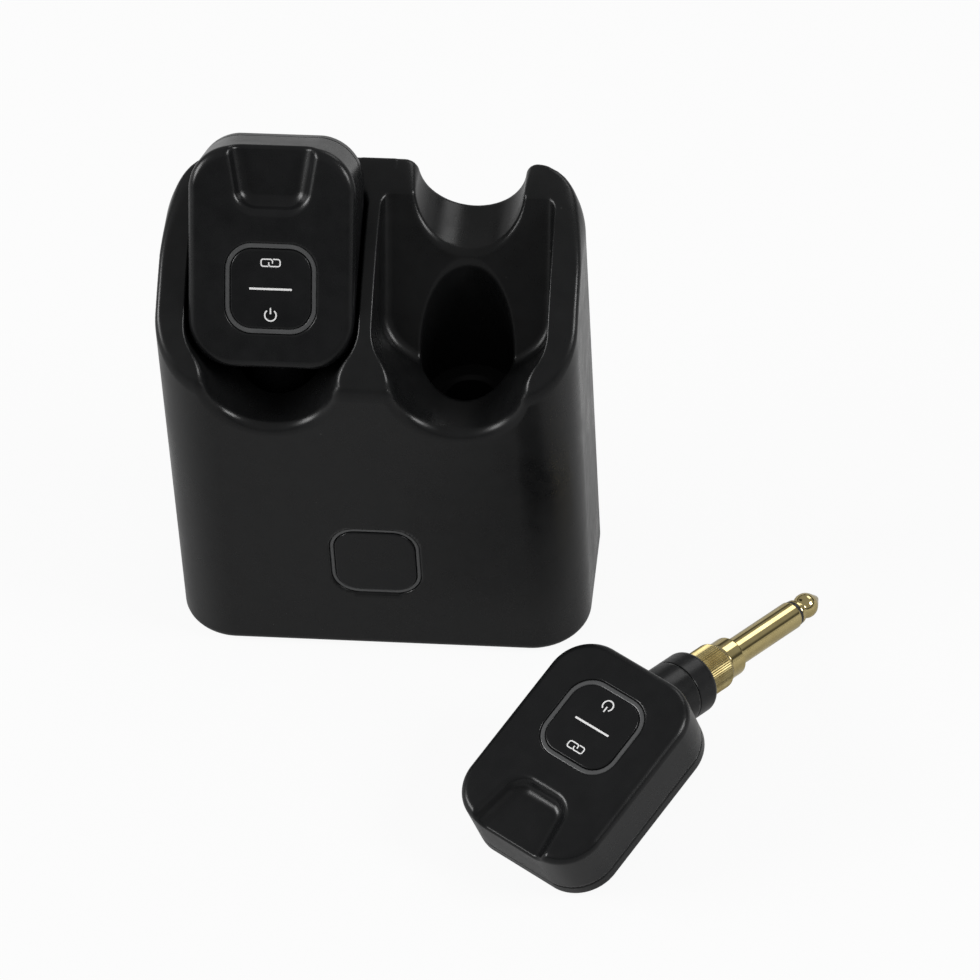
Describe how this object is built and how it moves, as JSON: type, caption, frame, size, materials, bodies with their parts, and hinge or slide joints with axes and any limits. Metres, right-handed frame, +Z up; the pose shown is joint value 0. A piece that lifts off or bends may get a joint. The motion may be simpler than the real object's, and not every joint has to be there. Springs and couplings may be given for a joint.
{
  "type": "wireless guitar transmitter set",
  "caption": "Wireless guitar transmitter seated in a two-bay charging dock, with its matching receiver; both units have an angled swivel jack plug and a push button.",
  "frame": {"origin": "centre of the dock's anti-slip mat, on the surface that the set stands on", "axes": "+Z up, +X to the dock's right, +Y to the dock's back"},
  "size_m": [0.1416, 0.1216, 0.1206],
  "materials": {
    "shell": "satin moulded plastic",
    "soft_black": "moulded plastic",
    "mat": "soft rubber",
    "light_guide": "smoked light guide",
    "button": "satin moulded plastic with printed marks",
    "gold": "gold plated",
    "steel": "plain",
    "board": "circuit board",
    "cell": "foil wrapped"
  },
  "bodies": {
    "dock": {"dock_shell": "shell", "left_bay_wall": "shell", "right_bay_wall": "shell", "dock_base_plate": "shell", "dock_base_mat": "mat", "dock_base_screws": "steel", "dock_main_board": "board", "dock_usb_socket": "steel", "dock_cell": "cell", "dock_light_ring": "light_guide", "dock_button_board": "board", "dock_switch": "steel", "left_charge_socket": "soft_black", "left_sleeve_contact": "gold", "left_tip_spring": "gold", "right_charge_socket": "soft_black", "right_sleeve_contact": "gold", "right_tip_spring": "gold"},
    "dock_button": {"dock_button": "button", "dock_switch_plunger": "soft_black"},
    "transmitter": {"transmitter_front_shell": "shell", "transmitter_back_cover": "shell", "transmitter_light_ring": "light_guide", "transmitter_board": "board", "transmitter_switch": "steel", "transmitter_cell": "cell"},
    "transmitter_button": {"transmitter_button": "button", "transmitter_switch_plunger": "soft_black"},
    "transmitter_plug": {"transmitter_swivel_neck": "shell", "transmitter_retaining_clip": "steel", "transmitter_knurled_collar": "gold", "transmitter_plug_sleeve": "gold", "transmitter_insulator": "soft_black", "transmitter_plug_tip": "gold"},
    "receiver": {"receiver_front_shell": "shell", "receiver_back_cover": "shell", "receiver_light_ring": "light_guide", "receiver_board": "board", "receiver_switch": "steel", "receiver_cell": "cell"},
    "receiver_button": {"receiver_button": "button", "receiver_switch_plunger": "soft_black"},
    "receiver_plug": {"receiver_swivel_neck": "shell", "receiver_retaining_clip": "steel", "receiver_knurled_collar": "gold", "receiver_plug_sleeve": "gold", "receiver_insulator": "soft_black", "receiver_plug_tip": "gold"}
  },
  "joints": [
    {"name": "dock_button_press", "type": "slide", "parent": "dock", "child": "dock_button", "axis": [0, 1, 0], "range_m": [0, 0.0004], "stiffness_N_per_m": 1500},
    {"name": "transmitter_lift", "type": "slide", "parent": "dock", "child": "transmitter", "axis": [0, 0, 1], "range_m": [0, 0.085]},
    {"name": "transmitter_button_press", "type": "slide", "parent": "transmitter", "child": "transmitter_button", "axis": [0, 0.8572, -0.515], "range_m": [0, 0.0004], "stiffness_N_per_m": 1500},
    {"name": "transmitter_plug_swivel", "type": "hinge", "parent": "transmitter", "child": "transmitter_plug", "pos_m": [-0.0203, -0.00265, 0.0735], "axis": [0, 0, -1], "range_deg": [-110, 110]},
    {"name": "receiver_lift", "type": "slide", "parent": "dock", "child": "receiver", "axis": [0, 0, 1], "range_m": [0, 0.085]},
    {"name": "receiver_button_press", "type": "slide", "parent": "receiver", "child": "receiver_button", "axis": [0.1839, 0.2626, -0.9472], "range_m": [0, 0.0004], "stiffness_N_per_m": 1500},
    {"name": "receiver_plug_swivel", "type": "hinge", "parent": "receiver", "child": "receiver_plug", "pos_m": [0.06282, -0.05177, 0.01438], "axis": [0.5604, 0.8003, -0.2131], "range_deg": [-110, 110]}
  ]
}
